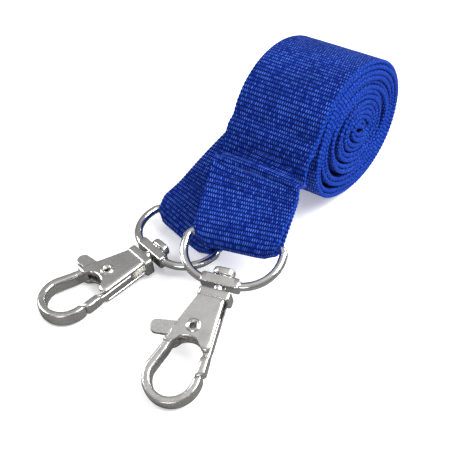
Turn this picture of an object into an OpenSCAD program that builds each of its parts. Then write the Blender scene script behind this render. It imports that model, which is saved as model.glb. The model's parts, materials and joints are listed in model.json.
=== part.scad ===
// Neck lanyard of flat webbing, rolled up for storage, with a swivel trigger
// clasp on a D-ring sewn into each end. Millimetres, +Z up, +Y along the length
// from the clasps to the roll, origin under the middle of the bounding box.

/* [Webbing] */
// Width of the flat woven strap
web_w = 25; // [24:0.5:26]
// Thickness of one layer of strap
web_t = 1.3; // [1:0.05:1.4]
// Length of the sewn-back flap behind the ring bar
flap_len = 17; // [15:0.5:18]
// Half width of the strap where it is gathered inside the ring
fold_half_w = 11.05; // [10:0.05:11.1]

/* [Roll] */
// Half of the roll's longer axis
roll_long = 25.1; // [24:0.1:26]
// Half of the roll's shorter axis
roll_short = 18.9; // [18:0.1:20]
// Lean of the longer axis over the clasps, in degrees
roll_lean = 22; // [15:1:28]
// Squareness of the roll's outline, 2 is a plain ellipse
roll_power = 2.1; // [2:0.05:2.4]

/* [D-ring] */
// Radius of the ring's wire
wire_r = 1.05; // [0.9:0.05:1.1]
// Half width of the ring along the wire's centre line
ring_half_w = 12.3; // [12.2:0.05:12.6]
// Bend radius of the corners beside the straight bar
ring_corner_r = 2.2; // [2:0.1:3]
// Bend radius of the two arms
ring_arm_r = 9.33; // [9:0.05:9.6]

/* [Swivel] */
// Radius of the swivel pin's shank
pin_r = 1.5; // [1.3:0.05:1.6]
// Running clearance around the shank
pin_gap = 0.06; // [0.02:0.01:0.1]

/* [Hook] */
// Outer radius of the claw
claw_r = 7; // [6.8:0.1:7.4]
// Inner radius of the claw
eye_r = 4.8; // [4.6:0.05:4.9]
// Height of the claw
claw_h = 3.8; // [3.4:0.1:4.2]
// Height of the two cheeks together
cheek_h = 4.6; // [4.4:0.1:5]
// Height of the slot between the cheeks
slot_h = 2.5; // [2.4:0.05:2.6]

/* [Gate] */
// Radius of the pivot rivet's barrel
rivet_r = 1.2; // [1.1:0.05:1.3]
// Running clearance around the barrel
rivet_gap = 0.06; // [0.02:0.01:0.1]
// Distance from the pivot to the end of the gate's nose
nose_r = 11.95; // [11.7:0.05:12]
// Gap between the nose and the tip of the claw
nose_gap = 0.15; // [0.1:0.05:0.3]

/* [Spring] */
// Radius of the spring's wire
spring_wire_r = 0.2; // [0.15:0.01:0.2]
// Radius of the spring's turns
spring_r = 1.7; // [1.6:0.05:1.8]

/* [Stitching] */
// Radius of the sewing thread
thread_r = 0.2; // [0.15:0.05:0.3]
// Distance from one stitch to the next
stitch_step = 2.2; // [1.8:0.1:3]

/* [Hidden] */

web_blue = "royalblue";
plated = "silver";

// The middle of the whole thing, taken off every place below
centre = [2.66, -0.78, 0.02];

// Roll: its left face, its middle and the height of its middle
roll_x = -2.5;
roll_y = 31.8;
roll_z = 20.3;

// Front clasp: middle of the ring's bar, heading and tilt
front_bar = [15, -15.1, 14.7] - centre;
front_heading = 14.1;
front_tilt = 16.8;
// Slope of the front strap from its ring up to the roll
front_slope = 28;
// Distance from the front bar to the crease under the roll
front_crease = 20.6;

// Back clasp: it lies almost flat, under the front strap
back_bar = [-4.5, -9.6, 4.2] - centre;
back_heading = -14.5;
back_tilt = 2.9;
// Heading of the back strap's fold
back_fold_heading = -16;
// Length of the ramp from the back bar up to the roll, its two handles and its top
back_ramp = 31.5;
ramp_low = [-0.7, -3.4, 10.3] - centre;
ramp_high = [4.9, 1.0, 19.2] - centre;
ramp_top = [10, 8.4, 26.2] - centre;

// Loop around a bar: offset of the fold, half height of its middle line, and
// where the two layers come together
fold_out = 0.8;
fold_half_h = 2.1;
close_at = 12;
// How much narrower the strap is at the very front of a fold, on each side
nose_in = 1;
layer_half = web_t / 2 + 0.03;
web_half = web_w / 2 - 0.1;

function unit(v) = v / norm(v);
function lerp(a, b, t) = a + (b - a) * t;
function clamped(t) = min(max(t, 0), 1);
function smooth(t) = clamped(t) * clamped(t) * (3 - 2 * clamped(t));
function heading_dir(h) = [cos(h), sin(h), 0];
function bezier(p, q, r, s, t) =
    pow(1 - t, 3) * p + 3 * pow(1 - t, 2) * t * q + 3 * (1 - t) * t * t * r + t * t * t * s;

// Half gap between the two layers, a distance behind the bar
function layer_gap(a) = lerp(fold_half_h, layer_half, smooth((a - 1) / (close_at - 1)));
// Half width of the strap, gathered beside the bar
function half_w_at(a) = lerp(fold_half_w, web_half, smooth(a / 18)) - nose_in * smooth(-a / 2.6);

// One pass round a bar: [distance behind the bar, height over it], from the far
// end of the main layer, round the fold, to the end of the flap. side is -1 when
// the main layer runs under the bar and +1 when it runs over it
function loop_pass(main_len, side) = concat(
    [for (i = [0:15]) let (a = lerp(main_len, -fold_out, i / 15)) [a, side * layer_gap(a)]],
    [for (i = [1:7]) let (b = 180 * i / 8) [-fold_out - fold_half_h * sin(b), side * fold_half_h * cos(b)]],
    [for (i = [0:13]) let (a = lerp(-fold_out, flap_len, i / 13)) [a, -side * layer_gap(a)]]
);

// Closed ribbon through middle points, each with a cross direction and half width
module ribbon(mids, crosses, halves) {
    last = len(mids) - 1;
    normals = [for (i = [0:last])
        unit(cross(crosses[i], mids[min(i + 1, last)] - mids[max(i - 1, 0)]))];
    corners = [for (i = [0:last]) for (k = [0:3])
        mids[i] + (k == 0 || k == 3 ? -1 : 1) * halves[i] * crosses[i]
                + (k < 2 ? -1 : 1) * web_t / 2 * normals[i]];
    walls = [for (i = [0:last - 1]) for (k = [0:3])
        let (a = 4 * i + k, b = 4 * i + (k + 1) % 4)
        each [[a, b, b + 4], [a, b + 4, a + 4]]];
    ends = [[2, 1, 0], [3, 2, 0], [4 * last, 4 * last + 1, 4 * last + 2],
        [4 * last, 4 * last + 2, 4 * last + 3]];
    polyhedron(
        points = corners,
        faces = concat(walls, ends),
        convexity = 8
    );
}

// Round wire through points that never run along Z
module wire(path, r, sides) {
    last = len(path) - 1;
    rings = [for (i = [0:last])
        let (
            along = unit(path[min(i + 1, last)] - path[max(i - 1, 0)]),
            out = unit(cross(along, [0, 0, 1])),
            up = cross(out, along)
        )
        for (k = [0:sides - 1])
            path[i] + r * (cos(360 * k / sides) * out + sin(360 * k / sides) * up)];
    walls = [for (i = [0:last - 1]) for (k = [0:sides - 1])
        let (a = sides * i + k, b = sides * i + (k + 1) % sides)
        each [[a, b, b + sides], [a, b + sides, a + sides]]];
    polyhedron(
        points = rings,
        faces = concat(
            [[for (k = [0:sides - 1]) sides - 1 - k]],
            walls,
            [[for (k = [0:sides - 1]) sides * last + k]]
        ),
        convexity = 6
    );
}

// ---- Front strap: straight up its slope, then over the crease into the roll
front_along = [
    -sin(front_heading) * cos(front_slope),
    cos(front_heading) * cos(front_slope),
    sin(front_slope)
];
front_across = heading_dir(front_heading);
front_up = cross(front_across, front_along);
function front_point(p) = front_bar + p[0] * front_along + p[1] * front_up;
function front_cross(a) =
    unit(lerp(front_across, [1, 0, 0], smooth((a - 4) / (front_crease - 4))));
front_neck = [[10, 10.2, 31.6] - centre, [10, 8.2, 29] - centre, [10.2, 5.6, 26.3] - centre];

module front_strap_end() {
    pass = loop_pass(front_crease, -1);
    mids = concat(front_neck, [for (p = pass) front_point(p)]);
    crosses = concat([for (p = front_neck) [1, 0, 0]], [for (p = pass) front_cross(p[0])]);
    halves = concat([for (p = front_neck) web_half], [for (p = pass) half_w_at(p[0])]);
    color(web_blue) ribbon(mids, crosses, halves);
}

// ---- Back strap: a ramp that turns as it comes down
function ramp_mid(a) = a > 0
    ? bezier(back_bar, ramp_low, ramp_high, ramp_top, a / back_ramp)
    : back_bar + a * unit(ramp_low - back_bar);
function back_cross(a) = heading_dir(lerp(back_fold_heading, 0, smooth(a / back_ramp)));
function ramp_up(a) = unit(cross(back_cross(a), ramp_mid(a + 0.2) - ramp_mid(a - 0.2)));
function back_point(p) = ramp_mid(p[0]) + p[1] * ramp_up(p[0]);

module back_strap_end() {
    pass = loop_pass(back_ramp, 1);
    color(web_blue) ribbon(
        [for (p = pass) back_point(p)],
        [for (p = pass) back_cross(p[0])],
        [for (p = pass) half_w_at(p[0])]
    );
}

// ---- Roll of webbing: one closed solid of its outer shape
function roll_point(b) =
    let (
        long = roll_long * sign(cos(b)) * pow(abs(cos(b)), 2 / roll_power),
        short = roll_short * sign(sin(b)) * pow(abs(sin(b)), 2 / roll_power)
    )
    [-long * cos(roll_lean) + short * sin(roll_lean), long * sin(roll_lean) + short * cos(roll_lean)];

module webbing_coil() {
    color(web_blue)
        translate([roll_x, roll_y, roll_z] - centre)
            rotate([90, 0, 90])
                linear_extrude(web_w)
                    polygon([for (i = [0:71]) roll_point(5 * i)]);
}

// ---- Stitching: two rows of thread across each flap, on both of its faces
stitch_rows = [flap_len - 2.6, flap_len - 5];
stitch_len = stitch_step * 0.7;
stitch_lift = web_t + 0.03 + thread_r * 0.4;

module stitch(at, along) {
    turn = atan2(along[1], along[0]);
    translate(at)
        rotate([0, 90, turn])
            cylinder(h = stitch_len, r = thread_r, center = true, $fn = 24);
}

module front_stitching() {
    color(web_blue)
        for (a = stitch_rows, face = [-1, 1], k = [-4:4])
            stitch(
                front_point([a, face * stitch_lift]) + k * stitch_step * front_cross(a),
                front_cross(a)
            );
}

module back_stitching() {
    color(web_blue)
        for (a = stitch_rows, face = [-1, 1], k = [-4:4])
            stitch(
                back_point([a, face * stitch_lift]) + k * stitch_step * back_cross(a),
                back_cross(a)
            );
}

// ---- Clasps. Their own frame: +X across along the bar, +Y from the bar towards
// the claw, +Z up out of the hook's face
module at_front() {
    translate(front_bar) rotate([front_tilt, 0, front_heading]) mirror([0, 1, 0]) children();
}
module at_back() {
    translate(back_bar) rotate([back_tilt, 0, back_heading]) mirror([0, 1, 0]) children();
}

// Ring and swivel block
block_half_w = 4.9;
block_y = 10.9;
block_d = 2.6;
block_h = 3.6;
arm_x = ring_half_w - ring_arm_r;
arm_y = 3;
arm_sweep = 81;
bar_half = ring_half_w - ring_corner_r;

module bent_wire(r, from, sweep) {
    rotate([0, 0, from])
        rotate_extrude(angle = sweep, $fn = 96)
            translate([r, 0]) circle(r = wire_r, $fn = 32);
}

module ring_half() {
    translate([bar_half, ring_corner_r, 0]) bent_wire(ring_corner_r, -90, 90);
    translate([ring_half_w, ring_corner_r, 0])
        rotate([-90, 0, 0]) cylinder(h = arm_y - ring_corner_r, r = wire_r, $fn = 32);
    translate([arm_x, arm_y, 0]) bent_wire(ring_arm_r, 0, arm_sweep);
}

module d_ring() {
    color(plated)
        difference() {
            union() {
                rotate([0, 90, 0]) cylinder(h = 2 * bar_half, r = wire_r, center = true, $fn = 32);
                ring_half();
                mirror([1, 0, 0]) ring_half();
                translate([-block_half_w, block_y, -block_h / 2])
                    cube([2 * block_half_w, block_d, block_h]);
            }
            translate([0, block_y - 1, 0])
                rotate([-90, 0, 0]) cylinder(h = block_d + 2, r = pin_r + pin_gap, $fn = 48);
        }
}

// Swivel pin: a flattened head inside the ring and a shank into the collar
head_r = 2.65;
head_y = 8.7;
head_d = 1.9;
head_h = 3.4;
collar_y = 14.9;
collar_d = 2.4;
pin_end = 16.9;

module swivel_pin() {
    color(plated)
        union() {
            intersection() {
                translate([0, head_y, 0])
                    rotate([-90, 0, 0]) cylinder(h = head_d, r = head_r, $fn = 48);
                translate([-head_r, head_y, -head_h / 2]) cube([2 * head_r, head_d, head_h]);
            }
            translate([0, head_y + head_d / 2, 0])
                rotate([-90, 0, 0]) cylinder(h = pin_end - head_y - head_d / 2, r = pin_r, $fn = 48);
        }
}

// Hook body: collar, two cheeks with a slot between them, spine and claw
claw_at = [-2.8, 37.5];
eye_at = [-2.75, 37.5];
arch_at = [-1.9, 31.9];
arch_r = 4;
pivot = [-1.9, 25.1];
cheek_left = [-3.6, 17];
cheek_right = [3, 17];
cheek_corner = [3.75, 29.8];
cheek_end = 30.2;
slot_from = 17.6;
slot_left_to = 29;
slot_right_to = 31;

// The spine's straight edge starts just inside the cheeks and runs into the claw
// a little under its surface, so that the two cross cleanly
spine_from = cheek_left + [0.15, 1];
spine_r = claw_r - 0.12;
spine_reach = norm(claw_at - spine_from);
spine_turn = asin(spine_r / spine_reach)
    + atan2(claw_at[1] - spine_from[1], claw_at[0] - spine_from[0]);
spine_len = sqrt(spine_reach * spine_reach - spine_r * spine_r);
spine_point = spine_from + spine_len * [cos(spine_turn), sin(spine_turn)];
// The cheeks' left edge at their end
spine_at_end = cheek_left[0] - 0.1
    + (cheek_end - cheek_left[1]) * (spine_point[0] - cheek_left[0]) / (spine_point[1] - cheek_left[1]);

// Corners of the eye's straight sides, just inside the circle at c
eye_turn = asin((eye_r - arch_r) / norm(eye_at - arch_at));
eye_axis = atan2(eye_at[1] - arch_at[1], eye_at[0] - arch_at[0]);
function eye_tangent(c, r, side) =
    c + (r - 0.04) * [cos(eye_axis + side * (90 + eye_turn)), sin(eye_axis + side * (90 + eye_turn))];

module slab(h) {
    translate([0, 0, -h / 2]) linear_extrude(h) children();
}

module eye() {
    translate([eye_at[0], eye_at[1], 0]) cylinder(h = 8, r = eye_r, center = true, $fn = 96);
    translate([arch_at[0], arch_at[1], 0]) cylinder(h = 8, r = arch_r, center = true, $fn = 96);
    slab(8) polygon([
        eye_tangent(arch_at, arch_r, 1), eye_tangent(arch_at, arch_r, -1),
        eye_tangent(eye_at, eye_r, -1), eye_tangent(eye_at, eye_r, 1)
    ]);
}

module gate_gap() {
    intersection() {
        translate([pivot[0], pivot[1], 0])
            cylinder(h = 8, r = nose_r + nose_gap, center = true, $fn = 128);
        translate([0, cheek_end, -4]) cube([12, 12, 8]);
    }
}

module hook_body() {
    color(plated)
        difference() {
            union() {
                translate([-4, collar_y, -2.5]) cube([8, collar_d, 5]);
                slab(cheek_h) polygon([
                    cheek_left, cheek_right, cheek_corner,
                    [cheek_corner[0] - 0.6, cheek_end], [spine_at_end, cheek_end]
                ]);
                slab(claw_h) polygon([
                    spine_from, cheek_right + [-0.3, 1], cheek_corner - [0.3, 0],
                    [claw_at[0] + claw_r - 0.5, claw_at[1] - 2], claw_at, spine_point
                ]);
                translate([claw_at[0], claw_at[1], 0])
                    cylinder(h = claw_h, r = claw_r, center = true, $fn = 128);
            }
            eye();
            gate_gap();
            translate([-12, slot_from, -slot_h / 2])
                cube([24, slot_left_to - slot_from, slot_h]);
            translate([0, slot_from, -slot_h / 2])
                cube([12, slot_right_to - slot_from, slot_h]);
            translate([pivot[0], pivot[1], 0])
                cylinder(h = 8, r = rivet_r + 0.02, center = true, $fn = 48);
            translate([0, collar_y - 1, 0])
                rotate([-90, 0, 0]) cylinder(h = pin_end - collar_y + 1.1, r = pin_r + 0.02, $fn = 48);
        }
}

// Rivet: a hollow barrel rolled over both cheeks
module pivot_rivet() {
    flange_h = 0.3;
    color(plated)
        translate([pivot[0], pivot[1], 0])
            difference() {
                union() {
                    cylinder(h = cheek_h + flange_h, r = rivet_r, center = true, $fn = 48);
                    for (face = [-1, 1])
                        translate([0, 0, face * (cheek_h + flange_h) / 2])
                            cylinder(h = flange_h, r = 1.75, center = true, $fn = 48);
                }
                cylinder(h = 8, r = 0.85, center = true, $fn = 48);
            }
}

// Gate: a hub and a thumb tab between the cheeks, a web along the open flank and
// a nose that closes the claw
gate_low = -1;
gate_top = 0.2;
tab_tip = -12.8;
tab_y = 26.6;
tab_half = 1.75;
web_inner = 2.25;
web_low_y = 21.4;
web_high_y = 31.3;

module gate_plate() {
    difference() {
        translate([0, 0, gate_low])
            linear_extrude(gate_top - gate_low)
                union() {
                    translate(pivot) circle(r = 2.3, $fn = 64);
                    translate([tab_tip + tab_half, tab_y]) circle(r = tab_half, $fn = 48);
                    polygon([
                        [tab_tip + tab_half, tab_y - tab_half], [pivot[0], pivot[1] - 1.6],
                        [web_inner + 0.3, web_low_y + 0.2], [web_inner + 0.3, 28.4],
                        [pivot[0], 27.3], [tab_tip + tab_half, tab_y + tab_half]
                    ]);
                }
        translate([pivot[0], pivot[1], 0])
            cylinder(h = 8, r = rivet_r + rivet_gap, center = true, $fn = 48);
    }
}

module gate_lever() {
    color(plated)
        union() {
            gate_plate();
            slab(2.1) polygon([
                [web_inner, web_low_y], [3.38, web_low_y], [4.1, web_high_y + 0.2],
                [web_inner, web_high_y + 0.2]
            ]);
            intersection() {
                slab(3) polygon([
                    [web_inner, web_high_y], [4.1, web_high_y], [4.4, 35.6],
                    [4.4, 37.5], [web_inner, 37.5]
                ]);
                translate([pivot[0], pivot[1], 0])
                    cylinder(h = 8, r = nose_r, center = true, $fn = 128);
            }
        }
}

// Spring: two turns round the barrel, one leg to the nose's side and one to the collar
spring_low = 0.5;
spring_rise = 0.4;
spring_turns = 2.5;

module gate_spring() {
    steps = 50;
    turns = [for (i = [0:steps])
        let (b = 360 * spring_turns * i / steps)
        [spring_r * cos(b), spring_r * sin(b), spring_low + spring_rise * i / steps]];
    color(plated)
        translate([pivot[0], pivot[1], 0])
            wire(
                concat([[spring_r, -2.3, spring_low]], turns, [[-spring_r, -4.4, spring_low + spring_rise]]),
                spring_wire_r, 8
            );
}

module front_d_ring() at_front() d_ring();
module front_swivel_pin() at_front() swivel_pin();
module front_hook_body() at_front() hook_body();
module front_gate_lever() at_front() gate_lever();
module front_pivot_rivet() at_front() pivot_rivet();
module front_gate_spring() at_front() gate_spring();
module back_d_ring() at_back() d_ring();
module back_swivel_pin() at_back() swivel_pin();
module back_hook_body() at_back() hook_body();
module back_gate_lever() at_back() gate_lever();
module back_pivot_rivet() at_back() pivot_rivet();
module back_gate_spring() at_back() gate_spring();

webbing_coil();
front_strap_end();
back_strap_end();
front_stitching();
back_stitching();
front_d_ring();
front_swivel_pin();
front_hook_body();
front_gate_lever();
front_pivot_rivet();
front_gate_spring();
back_d_ring();
back_swivel_pin();
back_hook_body();
back_gate_lever();
back_pivot_rivet();
back_gate_spring();
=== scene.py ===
import json
import math

import bmesh
import bpy
import numpy as np
from mathutils import Matrix, Vector


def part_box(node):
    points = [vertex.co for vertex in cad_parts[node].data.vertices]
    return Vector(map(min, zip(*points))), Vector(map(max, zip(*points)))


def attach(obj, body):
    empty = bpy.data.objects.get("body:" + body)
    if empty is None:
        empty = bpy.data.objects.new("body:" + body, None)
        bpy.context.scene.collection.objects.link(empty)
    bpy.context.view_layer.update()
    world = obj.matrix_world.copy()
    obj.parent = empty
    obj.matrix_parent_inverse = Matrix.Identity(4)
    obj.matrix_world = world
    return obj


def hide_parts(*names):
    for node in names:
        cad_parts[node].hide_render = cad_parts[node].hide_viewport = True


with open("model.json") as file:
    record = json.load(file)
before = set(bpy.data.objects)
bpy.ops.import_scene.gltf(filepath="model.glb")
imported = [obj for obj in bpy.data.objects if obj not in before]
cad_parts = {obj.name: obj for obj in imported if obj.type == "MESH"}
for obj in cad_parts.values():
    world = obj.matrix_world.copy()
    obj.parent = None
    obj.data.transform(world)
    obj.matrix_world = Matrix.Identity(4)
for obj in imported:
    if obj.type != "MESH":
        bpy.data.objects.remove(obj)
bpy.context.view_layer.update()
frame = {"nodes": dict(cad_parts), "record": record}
joints = {joint["name"]: joint for joint in frame["record"]["behaviour"]["joints"]}
mm = 0.001
print("frame loaded:", len(frame["nodes"]), "nodes")


# surfaces are worked out in millimetres, and each piece goes to metres in makePiece
def unit(v):
    # every vector in the array over its own length
    return v / np.linalg.norm(v, axis=-1, keepdims=True)


def smooth(t):
    # 3t^2 - 2t^3 on 0..1, flat outside
    t = np.clip(t, 0, 1)
    return t * t * (3 - 2 * t)


def arc(centre, radius, start, stop, count):
    # points of a circle round centre, from one angle to the other in degrees
    angle = np.radians(np.linspace(start, stop, count))
    return np.stack([centre[0] + radius * np.cos(angle), centre[1] + radius * np.sin(angle)], 1)


def evenly(points, count, closed=True):
    # the same line with count points at equal steps along it
    ring = np.vstack([points, points[:1]]) if closed else points
    run = np.r_[0, np.cumsum(np.linalg.norm(np.diff(ring, axis=0), axis=1))]
    at = np.linspace(0, run[-1], count + 1)[:-1] if closed else np.linspace(0, run[-1], count)
    return np.stack([np.interp(at, run, ring[:, k]) for k in range(ring.shape[1])], 1)


def softened(points, passes):
    # each pass moves a closed outline's points to the mean of their neighbours, which rounds corners
    for _ in range(passes):
        points = (np.roll(points, 1, 0) + 2 * points + np.roll(points, -1, 0)) / 4
    return points


def outward(outline):
    # unit normal of a closed outline at each point, away from its middle
    along = np.roll(outline, -1, 0) - np.roll(outline, 1, 0)
    normal = unit(np.stack([along[:, 1], -along[:, 0]], 1))
    turn = np.sum(outline[:, 0] * np.roll(outline[:, 1], -1) - outline[:, 1] * np.roll(outline[:, 0], -1))
    return normal * np.sign(turn)


def gridFaces(rows, columns, closeRows, closeColumns):
    # quads between neighbouring points of a rows x columns grid, wrapping where asked
    r = np.arange(rows if closeRows else rows - 1)
    c = np.arange(columns if closeColumns else columns - 1)
    r, c = np.meshgrid(r, c, indexing="ij")
    down, right = (r + 1) % rows, (c + 1) % columns
    quads = np.stack([r * columns + c, r * columns + right, down * columns + right, down * columns + c], -1)
    return quads.reshape(-1, 4).tolist()


def shell(grid, closeRows=False, closeColumns=True, caps=True):
    # a grid of points as one closed surface: tube when only columns wrap, torus when both do
    rows, columns = grid.shape[:2]
    faces = gridFaces(rows, columns, closeRows, closeColumns)
    if caps and not closeRows:
        faces.append(list(range(columns)))
        faces.append(list(range((rows - 1) * columns, rows * columns)))
    return grid.reshape(-1, 3), faces


def sweep(path, up, profile):
    # a profile of (side, up) offsets carried along a path; one offset set, or one for each station
    along = unit(np.gradient(path, axis=0))
    side = unit(np.cross(along, up))
    lift = np.cross(side, along)
    profile = np.broadcast_to(profile, (len(path),) + profile.shape[-2:])
    grid = path[:, None] + profile[..., :1] * side[:, None] + profile[..., 1:] * lift[:, None]
    return shell(grid)


def roundProfile(radius, sides):
    # circle of offsets for sweep()
    return arc((0, 0), radius, 0, 360 * (1 - 1 / sides), sides)


def superellipse(angle, power):
    # (x, y) on |x|^power + |y|^power = 1: cosine and sine to the power 2/power, signs kept
    c, s = np.cos(angle), np.sin(angle)
    return np.sign(c) * np.abs(c) ** (2 / power), np.sign(s) * np.abs(s) ** (2 / power)


def lathe(profile, sides):
    # closed (radius, height) profile turned round the height axis, a torus of quads
    angle = np.linspace(0, 2 * np.pi, sides, endpoint=False)[:, None]
    grid = np.stack([profile[:, 0] * np.cos(angle), profile[:, 0] * np.sin(angle),
                     np.broadcast_to(profile[:, 1], (sides, len(profile)))], -1)
    return shell(grid, closeRows=True)


def edgeRings(outline, low, high, inset, drop, lowInset, centre=None):
    # rings of a plate's rim: small bevel below, quarter ellipse of inset x drop above; with a
    # centre the rings step in along its rays, so that no two of them cross at a corner
    normal = outward(outline)
    if centre is not None:
        ray = unit(outline - centre)
        normal = ray / np.maximum(np.sum(ray * normal, 1), 0.5)[:, None]
    inset = np.broadcast_to(inset, len(outline))
    turns = np.radians(np.array([0, 22, 45, 68, 90]))
    steps = [(0 * inset + lowInset, low), (0 * inset, low + lowInset)]
    steps += [(inset * (1 - math.cos(a)), high - drop * (1 - math.sin(a))) for a in turns]
    steps.append((inset + 0.06, high))    # a flat ring keeps the face's shading clean
    return [np.column_stack([outline - normal * s[:, None], np.full(len(outline), z)]) for s, z in steps]


def holedPlate(outline, centre, holeR, low, high, inset=0.3, drop=0.3, lowInset=0.12):
    # plate between low and high with a round hole: each outline point is tied to the hole's
    # rim point in the same direction, and the closed section runs round the plate
    rim = centre + holeR * unit(outline - centre)
    rings = edgeRings(outline, low, high, inset, drop, lowInset, centre)
    lip = 0.12    # the hole's own bevel
    out = unit(outline - centre)
    hole = [(lip + 0.05, high), (lip, high), (0, high - lip), (0, low + lip), (lip, low), (lip + 0.05, low)]
    rings += [np.column_stack([rim + out * s, np.full(len(outline), z)]) for s, z in hole]
    return shell(np.stack(rings, 0), closeRows=True)


def puck(outline, low, high, inset=0.3, drop=0.3):
    # solid plate with both rims rounded
    top = edgeRings(outline, low, high, inset, drop, 0.1)[2:]
    bottom = [np.column_stack([ring[:, :2], low + high - ring[:, 2]]) for ring in top[::-1]]
    return shell(np.stack(bottom + top, 0))


def roundedBox(halfX, halfY, radius, count):
    # outline of a rectangle with round corners
    x, y = halfX - radius, halfY - radius
    corners = [arc((x, y), radius, 0, 90, 9), arc((-x, y), radius, 90, 180, 9),
               arc((-x, -y), radius, 180, 270, 9), arc((x, -y), radius, 270, 360, 9)]
    return evenly(np.vstack(corners), count)


def swapAxes(part, order):
    # the same part with its axes taken in another order
    points, faces = part
    return points[:, order], faces


def makePiece(name, parts, place, body, nodes, material, sharp=40):
    # joins parts, puts them in the shared frame in metres, points every shell outwards
    points, faces, base = [], [], 0
    for partPoints, partFaces in parts:
        points.append(place(partPoints))
        faces += [[i + base for i in face] for face in partFaces]
        base += len(partPoints)
    mesh = bpy.data.meshes.new(name)
    mesh.from_pydata(np.vstack(points).tolist(), [], faces)
    work = bmesh.new()
    work.from_mesh(mesh)
    bmesh.ops.recalc_face_normals(work, faces=work.faces)
    work.to_mesh(mesh)
    work.free()
    mesh.polygons.foreach_set("use_smooth", [True] * len(mesh.polygons))
    mesh.set_sharp_from_angle(angle=math.radians(sharp))
    piece = bpy.data.objects.new(name, mesh)
    bpy.context.scene.collection.objects.link(piece)
    mesh.materials.append(material)
    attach(piece, body)
    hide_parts(*nodes)
    return piece


def colour(code):
    # sRGB hex to linear
    value = np.array([int(code[i:i + 2], 16) for i in (1, 3, 5)]) / 255
    value = np.where(value <= 0.04045, value / 12.92, ((value + 0.055) / 1.055) ** 2.4)
    return (*value.tolist(), 1)


def addNode(tree, kind, links=None, **settings):
    # one node with its settings; each link is a socket or a plain value
    node = tree.nodes.new(kind)
    for key, value in settings.items():
        setattr(node, key, value)
    for socket, source in (links or {}).items():
        if isinstance(source, bpy.types.NodeSocket):
            tree.links.new(source, node.inputs[socket])
        else:
            node.inputs[socket].default_value = source
    return node.outputs


def startMaterial(name, constants):
    # a new Principled material with these values on its own sockets
    material = bpy.data.materials.new(name)
    material.use_nodes = True
    shader = material.node_tree.nodes["Principled BSDF"]
    for socket, value in constants.items():
        shader.inputs[socket].default_value = value
    return material, material.node_tree, shader


webbing = {
    "columnPitch": 0.62,    # mm between warp cords across the strap
    "rowPitch": 1.12,       # mm between picks along the strap
    "shadow": "#000528",    # between the cords
    "body": "#072788",
    "floatHighlight": "#4a74dd",     # top of a warp float, a painted highlight
    "edge": "#1640ab",      # looped selvedge
    "cut": "#3a58b4",       # melted, heat-cut end; also the painted highlight along the crease
    "relief": 0.16,         # mm
    "roughness": 0.8,
}


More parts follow.
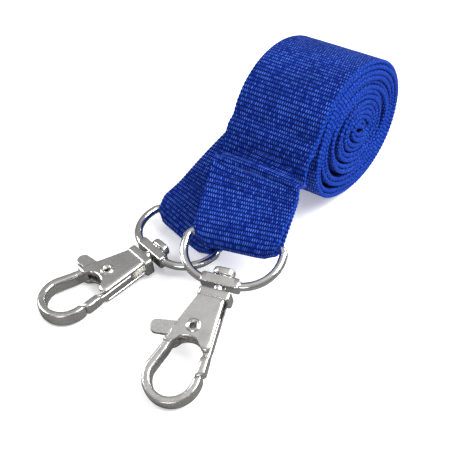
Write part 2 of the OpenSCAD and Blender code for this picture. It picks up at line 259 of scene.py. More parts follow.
def wovenPolyester():
    # polyester webbing woven in ribs: matt, soft sheen, short warp floats in rows with a painted highlight on
    # their tops
    w = webbing
    material, tree, shader = startMaterial("wovenPolyesterWebbing", {
        "Roughness": w["roughness"], "Sheen Weight": 0.02, "Sheen Roughness": 0.4,
        "Sheen Tint": colour("#9db8ff"), "Specular IOR Level": 0.05})
    uv = addNode(tree, "ShaderNodeUVMap", uv_map="weave")[0]
    place = addNode(tree, "ShaderNodeSeparateXYZ", {0: uv})
    # row number and place along a pick
    along = addNode(tree, "ShaderNodeMath", {0: place[1], 1: w["rowPitch"]}, operation="DIVIDE")[0]
    row = addNode(tree, "ShaderNodeMath", {0: along}, operation="FLOOR")[0]
    inRow = addNode(tree, "ShaderNodeMath", {0: along}, operation="FRACT")[0]
    # every second row is moved half a cord across
    odd = addNode(tree, "ShaderNodeMath", {0: row, 1: 2.0}, operation="MODULO")[0]
    shift = addNode(tree, "ShaderNodeMath", {0: odd, 1: 0.5}, operation="MULTIPLY")[0]
    across = addNode(tree, "ShaderNodeMath", {0: place[0], 1: w["columnPitch"]}, operation="DIVIDE")[0]
    across = addNode(tree, "ShaderNodeMath", {0: across, 1: shift}, operation="ADD")[0]
    column = addNode(tree, "ShaderNodeMath", {0: across}, operation="FLOOR")[0]
    inColumn = addNode(tree, "ShaderNodeMath", {0: across}, operation="FRACT")[0]
    # float height: half sine across the cord times half sine along the pick
    cordAngle = addNode(tree, "ShaderNodeMath", {0: inColumn, 1: math.pi}, operation="MULTIPLY")[0]
    pickAngle = addNode(tree, "ShaderNodeMath", {0: inRow, 1: math.pi}, operation="MULTIPLY")[0]
    cord = addNode(tree, "ShaderNodeMath", {0: cordAngle}, operation="SINE")[0]
    pick = addNode(tree, "ShaderNodeMath", {0: pickAngle}, operation="SINE")[0]
    broad = addNode(tree, "ShaderNodeMath", {0: pick, 1: 0.5}, operation="POWER")[0]
    floatHeight = addNode(tree, "ShaderNodeMath", {0: cord, 1: broad}, operation="MULTIPLY")[0]
    height = addNode(tree, "ShaderNodeMix", {0: 0.85, 2: broad, 3: floatHeight}, data_type="FLOAT")[0]
    # one random value for each float, and worn patches about 11 mm wide
    cell = addNode(tree, "ShaderNodeCombineXYZ", {0: column, 1: row})[0]
    chance = addNode(tree, "ShaderNodeTexWhiteNoise", {0: cell}, noise_dimensions="2D")[0]
    patch = addNode(tree, "ShaderNodeTexNoise", {"Vector": uv, "Scale": 0.09, "Detail": 3.0},
                    noise_dimensions="2D")[0]
    # painted highlight on the top of each float, of random strength
    floatHighlightShare = addNode(tree, "ShaderNodeMapRange", {0: floatHeight, 1: 0.5, 2: 1.0, 3: 0.0, 4: 1.0})[0]
    floatHighlightShare = addNode(tree, "ShaderNodeMath", {0: floatHighlightShare, 1: chance}, operation="MULTIPLY")[0]
    bodyShare = addNode(tree, "ShaderNodeMapRange", {0: height, 1: 0.1, 2: 0.75, 3: 0.0, 4: 1.0})[0]
    worn = addNode(tree, "ShaderNodeMapRange", {0: patch, 1: 0.3, 2: 0.7, 3: 0.86, 4: 1.12})[0]
    blend = addNode(tree, "ShaderNodeMix", {0: bodyShare, 6: colour(w["shadow"]), 7: colour(w["body"])},
                    data_type="RGBA")[2]
    blend = addNode(tree, "ShaderNodeMix", {0: floatHighlightShare, 6: blend, 7: colour(w["floatHighlight"])},
                    data_type="RGBA")[2]
    blend = addNode(tree, "ShaderNodeHueSaturation", {"Value": worn, "Color": blend})[0]
    # the selvedge is lighter between its picks, a melted end is pale, and the crease's ridge gets a painted
    # highlight
    edge = addNode(tree, "ShaderNodeAttribute", attribute_name="selvedge")[2]
    loop = addNode(tree, "ShaderNodeMapRange", {0: pick, 1: 0.2, 2: 0.9, 3: 0.15, 4: 0.85})[0]
    edge = addNode(tree, "ShaderNodeMath", {0: edge, 1: loop}, operation="MULTIPLY")[0]
    blend = addNode(tree, "ShaderNodeMix", {0: edge, 6: blend, 7: colour(w["edge"])}, data_type="RGBA")[2]
    # the melted ends' pale colour, and the painted highlight on the crease
    cut = addNode(tree, "ShaderNodeAttribute", attribute_name="cutEndAndCreaseHighlight")[2]
    blend = addNode(tree, "ShaderNodeMix", {0: cut, 6: blend, 7: colour(w["cut"])}, data_type="RGBA")[2]
    tree.links.new(blend, shader.inputs["Base Color"])
    relief = addNode(tree, "ShaderNodeBump", {"Height": height, "Distance": w["relief"] * mm,
                                              "Strength": 1.0})[0]
    tree.links.new(relief, shader.inputs["Normal"])
    return material


def nickelPlate(name, tint, roughness, ripple, rippleSize):
    # bright nickel over metal: mirror-like, softened by the casting or drawing marks under it
    material, tree, shader = startMaterial(name, {"Metallic": 1.0, "Base Color": colour(tint)})
    spot = addNode(tree, "ShaderNodeTexCoord")[3]
    grain = addNode(tree, "ShaderNodeTexNoise", {"Vector": spot, "Scale": 1 / (rippleSize * mm),
                                                 "Detail": 4.0, "Roughness": 0.6})[0]
    gloss = addNode(tree, "ShaderNodeMapRange", {0: grain, 1: 0.3, 2: 0.7,
                                                 3: roughness * 0.7, 4: roughness * 1.35})[0]
    tree.links.new(gloss, shader.inputs["Roughness"])
    # faint tarnish, seen as slightly darker patches about 4 mm wide
    stain = addNode(tree, "ShaderNodeTexNoise", {"Vector": spot, "Scale": 1 / (4 * mm), "Detail": 3.0})[0]
    stainShare = addNode(tree, "ShaderNodeMapRange", {0: stain, 1: 0.45, 2: 0.75, 3: 0.0, 4: 0.35})[0]
    metal = addNode(tree, "ShaderNodeMix", {0: stainShare, 6: colour(tint), 7: colour("#a8a7a4")},
                    data_type="RGBA")[2]
    tree.links.new(metal, shader.inputs["Base Color"])
    relief = addNode(tree, "ShaderNodeBump", {"Height": grain, "Distance": ripple * mm, "Strength": 1.0})[0]
    tree.links.new(relief, shader.inputs["Normal"])
    return material


webbingCloth = wovenPolyester()
castNickel = nickelPlate("nickelPlatedZincCasting", "#e3e2df", 0.22, 0.0025, 0.7)
wireNickel = nickelPlate("nickelPlatedSteelWire", "#e8e7e4", 0.14, 0.003, 1.2)
gateNickel = nickelPlate("nickelPlatedPressedLever", "#dddcd9", 0.26, 0.003, 0.5)
pinNickel = nickelPlate("nickelPlatedTurnedPin", "#e6e5e2", 0.2, 0.004, 0.4)
springWire = nickelPlate("drawnSpringWire", "#b9b8b5", 0.3, 0.003, 0.3)
print("materials made")


# the two clasps are alike: mm from the middle of the bar, X along it, Y to the claw, Z out of the face
zAxis = np.array([0, 0, 1.0])
pivot = (-1.9, 25.1)    # the gate's rivet
rivetR = 1.2            # its barrel

ringSizes = {
    "wireR": 1.05,
    "half": 12.3,               # half the bar, to the middle of the arm's wire
    "cornerR": 2.2,
    "armR": 9.33, "armY": 3.0,  # each arm's arc
    "armSweep": 81,             # degrees
    "blockHalf": (4.9, 1.8),    # swivel block in X and Z
    "blockY": (10.9, 13.5),
    "blockCorner": 0.55, "blockEdge": 0.35,
    "boreR": 1.56,
}


def ringPath(c):
    # right half: arm arc, short straight, corner arc; the left half is its mirror image
    armX = c["half"] - c["armR"]
    barHalf = c["half"] - c["cornerR"]
    half = np.vstack([
        arc((armX, c["armY"]), c["armR"], c["armSweep"], 0, 40),
        arc((barHalf, c["cornerR"]), c["cornerR"], 0, -90, 16),
    ])
    outline = np.vstack([half, half[::-1] * (-1, 1)])
    count = 220
    return np.column_stack([evenly(outline, count, closed=False), np.zeros(count)])


def dRing(c):
    # round wire carried along ringPath, its ends inside the block; the block is a bored plate
    wire = sweep(ringPath(c), zAxis, roundProfile(c["wireR"], 24))
    box = roundedBox(*c["blockHalf"], c["blockCorner"], 96)
    block = holedPlate(box, np.zeros(2), c["boreR"], *c["blockY"], inset=c["blockEdge"],
                       drop=c["blockEdge"], lowInset=0.3)
    return [wire, swapAxes(block, [0, 2, 1])]


pinSizes = {
    "headHalf": (2.65, 1.7),    # in X and Z
    "headY": (8.7, 10.6),
    "headEdge": 0.45,
    "headPower": 2.7,           # 2 is an ellipse, more is squarer
    "shankR": 1.5,              # at its widest
    "shankY": (9.5, 16.9),
    "swell": 0.14, "swellY": 14.25, "swellLength": 0.5,
}


def swivelPin(c):
    # superellipse head with round rims; the shank's radius is a bell curve over a constant
    across, height = superellipse(np.radians(np.arange(0, 360, 6)), c["headPower"])
    head = np.stack([c["headHalf"][0] * across, c["headHalf"][1] * height], 1)
    top = puck(head, *c["headY"], inset=c["headEdge"], drop=c["headEdge"])
    run = np.linspace(*c["shankY"], 12)
    swell = 1 + c["swell"] * np.exp(-((run - c["swellY"]) / c["swellLength"]) ** 2)
    profile = roundProfile(c["shankR"], 32)[None] * (swell / swell.max())[:, None, None]
    shank = sweep(np.column_stack([0 * run, run, 0 * run]), zAxis, profile)
    return [swapAxes(top, [0, 2, 1]), shank]


hookSizes = {
    "cheekZ": (1.25, 2.3),
    "cheekEdge": 0.3, "flankEdge": 0.75, "eyeEdge": 0.45,   # round of the edge, and what is added to it
    "cheekCorners": [(-3.6, 17.0), (3.0, 17.0), (3.72, 29.3), (3.35, 30.1), (2.6, 30.35)],
    "spineCorner": (-7.75, 30.2),
    "archAt": (-1.9, 31.9), "archR": 4.0,                   # hollow in the cheeks' end, at the eye's foot
    "spine": ((-3.3, 18.0), (-9.36, 35.25)),                # the straight back
    "clawAt": (-2.8, 37.5), "clawR": 7.0,
    "clawHalf": 1.9, "clawPower": 3.6,                      # half height, and how square the bar is
    "eyeAt": (-2.75, 37.5), "eyeR": 4.8,
    "collarHalf": (4.0, 2.5), "collarY": (14.9, 17.3),
    "collarCorner": 0.8, "collarEdge": 0.5,
}


def cheekOutline(c):
    # collar side, open flank, corner, arch at the eye's foot, spine, then softened
    arch = arc(c["archAt"], c["archR"], -25, -155, 30)
    keys = np.vstack([c["cheekCorners"], arch, [c["spineCorner"]]])
    return softened(evenly(keys, 300), 4)


def clawEdges(c):
    # inner edge: arch, straight wall, eye; outer edge: spine, then the claw's circle to the tip.
    # both have one point for each station, and face each other across the bar
    first, last = np.array(c["spine"])

    def spine(start, stop, count):
        # points at equal steps on the straight back, between two shares of its length
        return first + np.linspace(start, stop, count)[:, None] * (last - first)

    wall = np.array([c["archAt"], c["eyeAt"]]) - [[c["archR"], 0], [c["eyeR"], 0]]
    inner = np.vstack([
        arc(c["archAt"], c["archR"], 222, 182, 14),
        evenly(wall, 22, closed=False),
        arc(c["eyeAt"], c["eyeR"], 179, -11.2, 90),
    ])
    outer = np.vstack([
        spine(0.56, 0.79, 14),
        spine(0.8, 1, 14),
        arc(c["clawAt"], c["clawR"], 198, 180, 8),
        arc(c["clawAt"], c["clawR"], 178.5, -15.1, 90),
    ])
    return inner, outer


def claw(c):
    # bar swept from the spine round to the tip: a superellipse between the two edges, which
    # shrinks over the last three stations to round the tip
    inner, outer = clawEdges(c)
    across, height = superellipse(np.radians(np.arange(0, 360, 9)), c["clawPower"])
    shrink = np.r_[np.ones(len(inner) - 3), 0.96, 0.88, 0.7][:, None]
    middle = (inner + outer) / 2
    half = (outer - inner) / 2 * shrink
    tall = c["clawHalf"] * shrink * height
    grid = np.concatenate([middle[:, None] + half[:, None] * across[None, :, None], tall[..., None]], -1)
    return shell(grid)


def hookBody(c):
    # two cheeks mirrored in Z, the collar and the claw; a cheek's edge is thin on the spine and
    # broad on the open flank and at the eye
    cheek = cheekOutline(c)
    broad = c["cheekEdge"] + c["flankEdge"] * smooth((cheek[:, 0] - 1.2) / 1.6)
    broad += c["eyeEdge"] * smooth((cheek[:, 1] - 27) / 1.5)
    upper = holedPlate(cheek, np.array(pivot), rivetR + 0.02, *c["cheekZ"], inset=broad, drop=0.5)
    lower = (upper[0] * (1, 1, -1), upper[1])
    collar = puck(roundedBox(*c["collarHalf"], c["collarCorner"], 96), *c["collarY"],
                  inset=c["collarEdge"], drop=c["collarEdge"])
    return [upper, lower, swapAxes(collar, [0, 2, 1]), claw(c)]


gateSizes = {
    "plateZ": (-1.0, 0.2), "plateEdge": 0.25,
    "tabTip": -12.8, "tabY": 26.6, "tabHalf": 1.75,         # thumb tab
    "hubCorners": [(-1.9, 22.8), (2.5, 21.7), (2.5, 28.3), (-1.0, 27.3)],
    "hubR": 2.3,
    "flankAt": (3.1, 17.5), "flankSlope": 1.3 / 18.1,       # outer face of the web
    # the web's sections: Y, inner face in X, half height
    "webRows": [
        (21.4, 2.3, 0.9), (21.6, 2.25, 1.05), (24, 2.25, 1.05), (27, 2.25, 1.05), (30, 2.25, 1.05),
        (31.0, 2.25, 1.05), (31.35, 2.15, 1.3), (31.7, 2.0, 1.5), (33, 2.0, 1.55), (34.6, 2.05, 1.55),
        (35.2, 2.1, 1.55), (36.1, 2.15, 1.5), (36.4, 2.35, 1.3),
    ],
    "noseR": 11.95, "noseFrom": 32,                         # arc round the rivet that clears the claw's tip
}


def gateWeb(c):
    # superellipse sections along Y; from noseFrom on, Y leans over to end on the nose's arc
    run, innerX, half = np.array(c["webRows"]).T
    outerX = c["flankAt"][0] + (run - c["flankAt"][1]) * c["flankSlope"]
    outerX[[0, -1]] -= 0.2    # round ends
    across, height = superellipse(np.radians(np.arange(0, 360, 15)), 4)
    x = ((outerX + innerX) / 2)[:, None] + ((outerX - innerX) / 2)[:, None] * across
    limit = pivot[1] + np.sqrt(c["noseR"] ** 2 - (x - pivot[0]) ** 2)
    share = np.clip((run - c["noseFrom"]) / (run[-1] - c["noseFrom"]), 0, 1)[:, None]
    y = run[:, None] + (limit - run[-1]) * share
    return shell(np.stack([x, y, half[:, None] * height], -1))


def gateLever(c):
    # hub, thumb tab and link as one softened plate with the rivet's hole, then the web and the nose
    keys = np.vstack([
        c["hubCorners"],
        arc((c["tabTip"] + c["tabHalf"], c["tabY"]), c["tabHalf"], 90, 270, 24),
        arc(pivot, c["hubR"], 215, 265, 6),
    ])
    plate = holedPlate(softened(evenly(keys, 260), 3), np.array(pivot), rivetR + 0.06, *c["plateZ"],
                       inset=c["plateEdge"], drop=c["plateEdge"])
    return [plate, gateWeb(c)]


rivetSizes = {"holeR": 0.85, "crownR": 1.25, "shoulderR": 1.55, "flangeR": 1.75}


def pivotRivet(c):
    # hollow barrel with both ends rolled over: half a (radius, height) section, mirrored and turned
    top = hookSizes["cheekZ"][1]
    half = np.array([(c["holeR"], top + 0.12), (c["holeR"] + 0.12, top + 0.28), (c["crownR"], top + 0.36),
                     (c["shoulderR"], top + 0.26), (c["flangeR"], top + 0.06), (c["flangeR"], top),
                     (rivetR, top)])
    points, faces = lathe(np.vstack([half, (half * (1, -1))[::-1]]), 48)
    return [(points + (*pivot, 0), faces)]


springSizes = {"coilR": 1.7, "wireR": 0.2, "turns": 2.5, "coilZ": (0.5, 0.9), "legs": (2.3, 4.4)}


def gateSpring(c):
    # helix round the barrel with a straight leg at each end
    low, high = c["coilZ"]
    turns = np.linspace(0, c["turns"] * 2 * np.pi, 90)
    height = low + (high - low) * turns / turns[-1]
    coil = np.stack([c["coilR"] * np.cos(turns), c["coilR"] * np.sin(turns), height], 1)
    path = np.vstack([[[c["coilR"], -c["legs"][0], low]], coil, [[-c["coilR"], -c["legs"][1], high]]])
    points, faces = sweep(path, zAxis, roundProfile(c["wireR"], 10))
    return [(points + (*pivot, 0), faces)]


def claspPlace(end):
    # from the clasp's own millimetres to the shared frame: the hinge's place plus the point on three axes
    hinge, swivel = joints[end + "_ring_hinge"], joints[end + "_swivel"]
    across = -np.array(hinge["axis"])
    along = np.array(swivel["axis"])
    axes = np.stack([across, along, -np.cross(across, along)])
    return lambda points: np.array(hinge["pos_m"]) + points @ axes * mm


for end in ("front", "back"):
    put, hook = claspPlace(end), end + "_hook"
    claspPieces = [
        ("DRing", dRing(ringSizes), end + "_ring", "plated_wire", "_d_ring", wireNickel),
        ("SwivelPin", swivelPin(pinSizes), hook, "plated_pins", "_swivel_pin", pinNickel),
        ("HookBody", hookBody(hookSizes), hook, "plated_casting", "_hook_body", castNickel),
        ("GateLever", gateLever(gateSizes), end + "_gate", "plated_gate", "_gate_lever", gateNickel),
        ("PivotRivet", pivotRivet(rivetSizes), hook, "plated_pins", "_pivot_rivet", pinNickel),
        ("GateSpring", gateSpring(springSizes), hook, "spring_steel", "_gate_spring", springWire),
    ]
    for name, parts, body, slot, node, metal in claspPieces:
        makePiece(end + name, parts, put, body, [end + node], metal)
    print(end, "clasp made")


# one ribbon from the back loop through the roll to the front loop; lengths are mm, angles degrees
strap = {
    "half": 12.4, "thickness": 1.3,
    "step": 0.4,                                        # between sections
    "foldHalf": 11.05, "noseIn": 1.0,                   # half width at the bar, less noseIn at the very front
    "foldOut": 0.8, "foldHalfHeight": 2.1,              # where the fold's round begins, beyond the bar
    "closeAt": 12.0, "layerGap": 0.03,                  # where the two layers meet behind the bar
    "frontGather": 18.0, "backGather": 4.0,             # where the full width is reached
    "flap": 17.0,                                       # free layer, behind the bar
    "noseDrawn": 1.2, "noseLength": 3.0,                # how far a fold's corners are drawn in
    "frontHeading": 14.1, "frontSlope": 28.0,           # the front fold's bearing and climb
    "frontMain": 18.2,                                  # length of its main layer
    "turnFrom": 4.0, "turnOver": 16.6,                  # the front loop turns square to the roll
    "bend": [(19.4, -0.5), (20.6, -0.1)],               # under the crease: behind the bar, above its plane
    "neck": [(7.4, 6.3, 26.5), (7.4, 8.2, 29.0)],       # from the bend to the roll
    "creaseFrom": 19.4, "creaseBow": 1.9,               # behind the bar at the edges, and bow at the middle
    "creaseHeight": 3.3,
    "creaseFront": 1.6, "creaseBack": 3.2,              # length of the ridge's steep and gentle sides
    "pocket": 1.7, "pocketFrom": 2.7, "pocketLength": 1.3,    # hollow at the foot of the steep side
    "curl": (-0.5, 1.2, 1.3), "curlLength": 5.0,        # free corner of the front flap
    "backFoldHeading": -16.0,
    # the back ramp's length, and the points of its curve after the bar
    "backRamp": 31.5,
    "rampLow": (-3.36, -2.62, 10.28), "rampHigh": (2.24, 1.78, 19.18), "rampTop": (7.34, 9.18, 26.18),
    "rollLong": 25.1, "rollShort": 18.9, "rollLean": 22.0,
    "rollPower": 2.1,                                   # 2 is an ellipse, more is squarer
    "turns": 6.4,
    "pitchFront": 3.95, "pitchBack": 3.25, "pitchSide": 2.8,    # from one pair of layers to the next
    "pairPitch": 1.36,                                  # within a pair
    "loopHeight": 0.1,                                  # selvedge loops
    "cutThin": 0.4, "cutLength": 1.6,                   # a melted end's thickness, and how far it thins
}
barFront = np.array(joints["front_ring_hinge"]["pos_m"]) / mm
barBack = np.array(joints["back_ring_hinge"]["pos_m"]) / mm
xAxis = np.array([1.0, 0, 0])


def heading(degrees):
    # level direction, 0 along X
    angle = np.radians(degrees)
    return np.stack([np.cos(angle), np.sin(angle), np.zeros_like(angle)], -1)


def layerGap(s, a):
    # half gap between the layers of a loop, easing from the fold's half height to the closed gap
    closed = s["thickness"] / 2 + s["layerGap"]
    return s["foldHalfHeight"] + (closed - s["foldHalfHeight"]) * smooth((a - 1) / (s["closeAt"] - 1))


def halfWidth(s, a, gather):
    # eases from the fold's half width to the full one over gather, and narrows before the bar
    return s["foldHalf"] + (s["half"] - s["foldHalf"]) * smooth(a / gather) - s["noseIn"] * smooth(-a / 2.6)


def loopPass(s, mainLength, side):
    # (distance behind the bar, height over it) along the main layer, round the fold, along the flap
    main = np.linspace(mainLength, -s["foldOut"], 60)
    turn = np.radians(np.linspace(0, 180, 20)[1:-1])
    flap = np.linspace(-s["foldOut"], s["flap"], 50)
    return np.vstack([
        np.column_stack([main, side * layerGap(s, main)]),
        np.column_stack([-s["foldOut"] - s["foldHalfHeight"] * np.sin(turn),
                         side * s["foldHalfHeight"] * np.cos(turn)]),
        np.column_stack([flap, -side * layerGap(s, flap)]),
    ])


def frontAxes(s):
    # at the front bar: away from it up the slope, across the strap, and out of its face
    head, slope = math.radians(s["frontHeading"]), math.radians(s["frontSlope"])
    along = np.array([-math.sin(head) * math.cos(slope), math.cos(head) * math.cos(slope), math.sin(slope)])
    across = heading(s["frontHeading"])
    return along, across, np.cross(across, along)


def frontCross(s, a):
    # across the front loop at distances a: the bar's direction, easing to X
    across = frontAxes(s)[1]
    return unit(across + (xAxis - across) * smooth((a - s["turnFrom"]) / s["turnOver"]))


def frontLoop(s):
    # from the roll: neck, bend under the crease, then the loop's pass on the front axes
    along, across, up = frontAxes(s)
    loop = loopPass(s, s["frontMain"], -1)
    bend = np.array(s["bend"])
    crease = barFront + bend[:, :1] * along + bend[:, 1:] * up
    neck = np.vstack([crease, s["neck"]])
    mids = np.vstack([neck[::-1], barFront + loop[:, :1] * along + loop[:, 1:] * up])
    crosses = np.vstack([np.tile(xAxis, (len(neck), 1)), frontCross(s, loop[:, :1])])
    halves = np.r_[np.full(len(neck), s["half"]), halfWidth(s, loop[:, 0], s["frontGather"])]
    return np.column_stack([mids, crosses, halves])


def rampPoint(s, a):
    # cubic Bezier from the back bar to the roll, straight on beyond the bar
    low, high, top = (np.array(s[key]) for key in ("rampLow", "rampHigh", "rampTop"))
    t = (a / s["backRamp"])[:, None]
    curve = ((1 - t) ** 3 * barBack + 3 * (1 - t) ** 2 * t * low + 3 * (1 - t) * t ** 2 * high + t ** 3 * top)
    return np.where(t > 0, curve, barBack + a[:, None] * unit(low - barBack))


def backAxes(s, a):
    # across the ramp, easing from the fold's heading to X, and out of its face: across x along
    across = heading(s["backFoldHeading"] * (1 - smooth(a / s["backRamp"])))
    return across, unit(np.cross(across, rampPoint(s, a + 0.2) - rampPoint(s, a - 0.2)))


def backLoop(s):
    # the loop's pass laid on the ramp, its height along the ramp's normal
    loop = loopPass(s, s["backRamp"], 1)
    a = loop[:, 0]
    crosses, up = backAxes(s, a)
    mids = rampPoint(s, a) + loop[:, 1:] * up
    return np.column_stack([mids, crosses, halfWidth(s, a, s["backGather"])])


def rollCurve(s, theta):
    # superellipse that shrinks one pair of layers each turn; the first turn stays on the outside
    # until it dips under its own start
    low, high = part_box("webbing_coil")
    middle = (np.array(low) + np.array(high)) / 2 / mm
    lean = math.radians(s["rollLean"])
    longAxis = np.array([-math.cos(lean), math.sin(lean)])
    shortAxis = np.array([math.sin(lean), math.cos(lean)])
    # depth counts the turns: a step at the front for the outer turns, an even spiral for the inner
    lap = (theta - 290) / 360
    stepped = np.floor(lap) + smooth((lap - np.floor(lap)) * 360 / 80)
    stepped += np.where(lap < 0, 1 - smooth((lap + 1) * 4.5), 0)
    even = (theta - 325) / 360 + 0.5
    depth = np.maximum(stepped + (even - stepped) * smooth((theta - 330) / 900), 0)
    angle = np.radians(theta)
    c, d = superellipse(angle, 2 + (s["rollPower"] - 2) * np.exp(-depth))
    half = s["thickness"] / 2
    longHalf = s["rollLong"] - half - depth * (s["pitchFront"] + s["pitchBack"]) / 2
    shortHalf = s["rollShort"] - half - depth * s["pitchSide"]
    # the inner turns are wound a little unevenly
    loose = 0.42 * np.cos(angle) ** 2 * np.sin(1.7 * angle + 0.6) * np.clip(depth, 0, 1)
    across = (longHalf + loose) * c - depth * (s["pitchFront"] - s["pitchBack"]) / 2
    rise = shortHalf * d
    return middle[0], middle[1:] + across[:, None] * longAxis + rise[:, None] * shortAxis


def roll(s):
    # two layers wound together: the inner one keeps a fixed distance inside the outer one, and a
    # tight turn joins them in the core
    theta = np.linspace(2, 360 * s["turns"], 4000)
    x, outer = rollCurve(s, theta)
    along = unit(np.gradient(outer, axis=0))
    out = np.stack([-along[:, 1], along[:, 0]], 1)
    inner = outer - s["pairPitch"] * out
    turn = np.radians(np.linspace(0, 180, 12)[1:-1])[:, None]
    core = (inner[-1] + outer[-1]) / 2 + s["pairPitch"] / 2 * (
        -out[-1] * np.cos(turn) + along[-1] * np.sin(turn))
    line = np.vstack([inner, core, outer[::-1]])
    # the layers' edges don't lie flush: each sways across by two slow sines
    sway = np.r_[0.28 * np.sin(theta / 61) + 0.15 * np.sin(theta / 17), np.zeros(len(core)),
                 (0.3 * np.sin(theta / 83 + 2) + 0.15 * np.sin(theta / 23))[::-1]]
    mids = np.column_stack([x + sway, line])
    return np.column_stack([mids, np.tile(xAxis, (len(mids), 1)), np.full(len(mids), s["half"])])


def strapStations(s):
    # middle, cross direction and half width at equal steps along the whole ribbon
    stations = np.vstack([backLoop(s)[::-1], roll(s), frontLoop(s)])
    run = np.r_[0, np.cumsum(np.linalg.norm(np.diff(stations[:, :3], axis=0), axis=1))]
    keep = np.r_[True, np.diff(run) > 1e-6]
    stations, run = stations[keep], run[keep]
    at = np.linspace(0, run[-1], int(run[-1] / s["step"]))
    even = np.stack([np.interp(at, run, stations[:, k]) for k in range(7)], 1)
    # a running mean over five stations takes the kinks out of the joins
    padded = np.pad(even, ((2, 2), (0, 0)), mode="edge")
    even[2:-2] = sum(padded[k:k + len(even)] for k in range(5))[2:-2] / 5
    return even, at


def strapProfile(s):
    # (across share, height) round one section: faces 5% thinner at the sides, half-round selvedges
    face = np.sin(np.radians(np.linspace(-90, 90, 15)))
    half = s["thickness"] / 2
    flat = 0.965    # share of the half width that is face
    rim = np.radians(np.array([60, 0, -60]))
    top = np.column_stack([face * flat, half * (1 - 0.05 * face ** 2)])
    right = np.column_stack([flat + (1 - flat) * np.cos(rim), half * np.sin(rim)])
    return np.vstack([top, right, top[::-1] * (1, -1), right[::-1] * (-1, 1)])


def paintPoints(mesh, name, value):
    # one number for each vertex, for the material to read
    layer = mesh.attributes.new(name, "FLOAT", "POINT")
    layer.data.foreach_set("value", value.ravel().astype(np.float32))


def makeStrap(s, material):
    # strapProfile carried along the stations, then moved by bell curves and eased steps at the
    # ends, the folds, the free corner and the crease
    stations, run = strapStations(s)
    mids, crosses, halves = stations[:, :3], unit(stations[:, 3:6]), stations[:, 6]
    along = unit(np.gradient(mids, axis=0))
    normal = unit(np.cross(crosses, along))
    profile = strapProfile(s)
    across = profile[:, 0]
    shape = (len(run), len(profile))
    # the selvedge's loops stand out a little at every pick
    loops = np.cos(2 * np.pi * run / webbing["rowPitch"])[:, None] * (np.abs(across) > 0.98)
    width = halves[:, None] * across + s["loopHeight"] * loops * np.sign(across)
    # a melted end is thin and slightly uneven
    fromEnd = run[-1] - run
    toCut = np.minimum(fromEnd, run)
    thick = (s["cutThin"] + (1 - s["cutThin"]) * smooth(toCut / s["cutLength"]))[:, None] * profile[:, 1]
    grid = mids[:, None] + width[..., None] * crosses[:, None] + thick[..., None] * normal[:, None]
    uneven = 0.16 * np.sin(9 * across + 1) + 0.1 * np.sin(23 * across)
    uneven = np.clip(1 - toCut / 1.2, 0, 1)[:, None] * uneven
    grid += uneven[..., None] * along[:, None]
    # a fold's corners are round: its outer edge is drawn in at both selvedges
    for bar, fold in ((barFront, fromEnd), (barBack, run)):
        nose = np.argmin(np.abs(fold - s["flap"] - s["foldOut"] - s["foldHalfHeight"] * math.pi / 2))
        inward = unit(bar - mids[nose])
        drawn = s["noseDrawn"] * np.exp(-((fold - fold[nose]) / s["noseLength"]) ** 2)[:, None]
        drawn = drawn * smooth((np.abs(across) - 0.7) / 0.3)
        grid += drawn[..., None] * inward
    # the free corner of the front flap curls up
    curl = np.clip(1 - fromEnd / s["curlLength"], 0, 1)[:, None] ** 2
    curl = curl * np.clip((-across - 0.55) / 0.45, 0, 1) ** 2
    grid += curl[..., None] * np.array(s["curl"])
    # the strap is creased where it comes off the roll: a bowed ridge, steep towards the bar, with a
    # hollow at the foot of its steep side
    start = np.argmin(np.linalg.norm(mids - barFront - s["creaseFrom"] * frontAxes(s)[0], axis=1))
    beyond = (run[start] - run)[:, None] - s["creaseBow"] * (1 - across ** 2)
    ridge = np.where(beyond < 0, smooth(1 + beyond / s["creaseFront"]),
                     np.exp(-np.maximum(beyond, 0) / s["creaseBack"]))
    ridge = ridge * (np.abs(beyond) < 25) * s["creaseHeight"] * (1 - 0.35 * across ** 2)
    ridge -= s["pocket"] * np.exp(-((beyond + s["pocketFrom"]) / s["pocketLength"]) ** 2)
    grid += ridge[..., None] * normal[:, None]
    piece = makePiece("webbingStrap", [shell(grid)], lambda p: p * mm, "webbing",
                      ["webbing_coil", "front_strap_end", "back_strap_end"], material, sharp=60)
    mesh = piece.data
    # millimetres across and along keep the weave square; the seam is at one selvedge
    weave = np.stack([np.broadcast_to(s["half"] * (across + 1.02), shape).ravel(),
                      np.broadcast_to(run[:, None], shape).ravel()], 1)
    loopVertex = np.empty(len(mesh.loops), dtype=np.int32)
    mesh.loops.foreach_get("vertex_index", loopVertex)
    mesh.uv_layers.new(name="weave").data.foreach_set("uv", weave[loopVertex].ravel().astype(np.float32))
    paintPoints(mesh, "selvedge", np.broadcast_to(smooth((np.abs(across) - 0.96) / 0.03), shape))
    # pale along the cut ends, and a painted highlight along the crease's ridge
    cut = np.clip(1 - toCut / 0.3, 0, 1)[:, None]
    creaseHighlight = 0.9 * np.exp(-(beyond / 0.2) ** 2)
    paintPoints(mesh, "cutEndAndCreaseHighlight", np.maximum(0.7 * cut, creaseHighlight))
    print("strap made:", len(run), "sections,", round(float(run[-1])), "mm long")


makeStrap(strap, webbingCloth)

thread = {
    "radius": 0.17, "length": 1.54,
    "count": 9, "step": 2.2,        # stitches in a row, and the distance between them
    "rows": (14.4, 12.0),           # distance behind the bar
    "tint": ("#04195f", "#0b2f98"),
    "twist": 0.22,                  # between the bands
}


def sewingThread(t):
    # two-ply polyester thread: bands of two blues where the plies cross
    material, tree, shader = startMaterial("polyesterSewingThread",
                                           {"Roughness": 0.7, "Specular IOR Level": 0.1})
    spot = addNode(tree, "ShaderNodeTexCoord")[3]
    # the wave repeats every pi/10 of its scaled coordinate
    plies = addNode(tree, "ShaderNodeTexWave", {"Vector": spot, "Scale": math.pi / 10 / (t["twist"] * mm),
                                                "Distortion": 1.0})[1]
    blend = addNode(tree, "ShaderNodeMix", {0: plies, 6: colour(t["tint"][0]), 7: colour(t["tint"][1])},
                    data_type="RGBA")[2]
    tree.links.new(blend, shader.inputs["Base Color"])
    return material


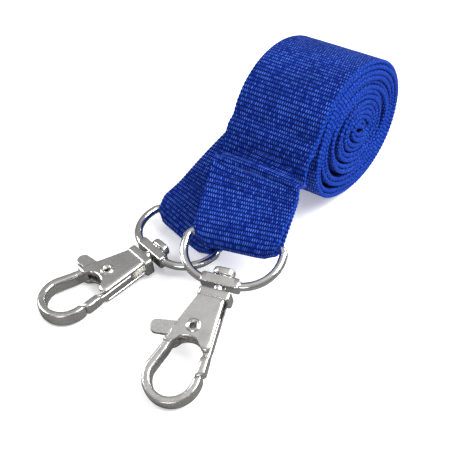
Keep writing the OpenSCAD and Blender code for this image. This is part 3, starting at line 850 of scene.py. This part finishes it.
def stitches(t, s, end):
    # rods on both faces of the loop, in two rows across the strap; each end dips into the cloth
    # by the fourth power of its place along the rod
    lift = s["thickness"] + s["layerGap"] + t["radius"] * 0.4
    place = np.linspace(-1, 1, 7)[:, None]
    rods = []
    for a in t["rows"]:
        at = np.array([a])
        if end == "front":
            along, _, up = frontAxes(s)
            middle, across = barFront + a * along, frontCross(s, at)
        else:
            middle = rampPoint(s, at)[0]
            across, up = (axis[0] for axis in backAxes(s, at))
        for side in (-1, 1):
            for k in np.arange(t["count"]) - (t["count"] - 1) / 2:
                centre = middle + side * lift * up + k * t["step"] * across
                path = centre + place / 2 * t["length"] * across - side * 0.1 * place ** 4 * up
                rods.append(sweep(path, up, roundProfile(t["radius"], 10)))
    return rods


threadCloth = sewingThread(thread)
for end in ("front", "back"):
    makePiece(end + "Stitches", stitches(thread, strap, end), lambda p: p * mm, "webbing",
              [end + "_stitching"], threadCloth, sharp=60)
print("stitching made")


studio = {
    # the camera in degrees and mm, the lens in mm on a 36 mm sensor
    "azimuth": 37.4, "elevation": 42.9, "roll": -3.9, "distance": 235, "lens": 69.2,
    "target": (-2.66, 0.78, -0.02),
    # name, place and size in metres, power in watts
    "lamps": [
        ("keySoftbox", (0.62, 0.3, 0.85), (0.7, 0.7), 15.0),
        ("frontFill", (0.2, -0.9, 0.5), (0.5, 0.3), 1.6),
        ("backStrip", (0.3, 0.75, 0.3), (0.6, 0.15), 2.5),
        ("leftStrip", (-0.7, -0.2, 0.45), (0.3, 0.6), 4.0),
    ],
    "sky": [(0.05, 0.02), (0.16, 0.08), (0.35, 0.5), (0.55, 0.38), (0.8, 0.55)],    # height, brightness
    "skyPower": 0.75,
    "tableGlow": 0.3,
    # the floor's grey as glossy rays meet it, a painted reflection
    "paintedReflectionGrey": "#6f6f6f",
}


def makeCamera(v):
    # on a sphere round the target, then turned about its own line of sight
    azimuth, elevation, roll = (math.radians(v[key]) for key in ("azimuth", "elevation", "roll"))
    back = np.array([math.sin(azimuth) * math.cos(elevation), -math.cos(azimuth) * math.cos(elevation),
                     math.sin(elevation)])
    level = np.array([math.cos(azimuth), math.sin(azimuth), 0])
    rise = np.cross(back, level)
    right = math.cos(roll) * level + math.sin(roll) * rise
    up = -math.sin(roll) * level + math.cos(roll) * rise
    data = bpy.data.cameras.new("camera")
    data.lens = v["lens"]
    data.sensor_width = 36
    data.clip_start = 0.005
    camera = bpy.data.objects.new("camera", data)
    turn = Matrix(np.column_stack([right, up, back]).tolist())
    place = (np.array(v["target"]) + back * v["distance"]) * mm
    camera.matrix_world = Matrix.Translation(place) @ turn.to_4x4()
    bpy.context.scene.collection.objects.link(camera)
    bpy.context.scene.camera = camera


def addLight(name, place, size, power, target=(0, 0, 0.01)):
    # rectangular lamp whose face looks at the target
    data = bpy.data.lights.new(name, "AREA")
    data.shape = "RECTANGLE"
    data.size, data.size_y = size
    data.energy = power
    light = bpy.data.objects.new(name, data)
    light.location = place
    light.rotation_mode = "QUATERNION"
    light.rotation_quaternion = (Vector(place) - Vector(target)).to_track_quat("Z", "Y")
    bpy.context.scene.collection.objects.link(light)


def makeFloor(v):
    # matt white paper with a grain about 1.1 mm, glowing faintly as on a light table
    bpy.ops.mesh.primitive_plane_add(size=4, location=(0, 0, -0.0002))
    floor = bpy.context.object
    floor.name = "floor"
    material, tree, shader = startMaterial("matWhitePaper", {
        "Roughness": 0.9, "Emission Color": (1, 1, 1, 1), "Emission Strength": v["tableGlow"]})
    spot = addNode(tree, "ShaderNodeTexCoord")[3]
    grain = addNode(tree, "ShaderNodeTexNoise", {"Vector": spot, "Scale": 900.0})[0]
    paper = addNode(tree, "ShaderNodeMix", {0: grain, 6: colour("#f9f9f9"), 7: colour("#fdfdfd")},
                    data_type="RGBA")[2]
    # a painted reflection that stands for dark cards round the table: glossy rays meet a darker floor than
    # the camera's do
    mirrored = addNode(tree, "ShaderNodeLightPath")[3]
    paper = addNode(tree, "ShaderNodeMix", {0: mirrored, 6: paper, 7: colour(v["paintedReflectionGrey"])},
                    data_type="RGBA")[2]
    glow = addNode(tree, "ShaderNodeMath", {0: 1.0, 1: mirrored}, operation="SUBTRACT")[0]
    glow = addNode(tree, "ShaderNodeMath", {0: glow, 1: v["tableGlow"]}, operation="MULTIPLY")[0]
    tree.links.new(glow, shader.inputs["Emission Strength"])
    tree.links.new(paper, shader.inputs["Base Color"])
    floor.data.materials.append(material)


def makeSky(v):
    # brightness by height: walls darker than the ceiling, and a dark band near the horizon that
    # the metal picks up
    world = bpy.data.worlds.new("studio")
    bpy.context.scene.world = world
    world.use_nodes = True
    tree = world.node_tree
    way = addNode(tree, "ShaderNodeTexCoord")[0]
    rise = addNode(tree, "ShaderNodeSeparateXYZ", {0: way})[2]
    level = addNode(tree, "ShaderNodeFloatCurve", {1: rise})
    curve = level[0].node.mapping.curves[0]
    for at, value in v["sky"]:
        curve.points.new(at, value)
    level[0].node.mapping.update()
    strength = addNode(tree, "ShaderNodeMath", {0: level[0], 1: v["skyPower"]}, operation="MULTIPLY")[0]
    tree.links.new(strength, tree.nodes["Background"].inputs["Strength"])
    tree.nodes["Background"].inputs["Color"].default_value = (1, 1, 1, 1)


bpy.context.scene.view_settings.view_transform = "Standard"
makeCamera(studio)
makeFloor(studio)
for name, place, size, power in studio["lamps"]:
    addLight(name, place, size, power)
makeSky(studio)
print("studio made")
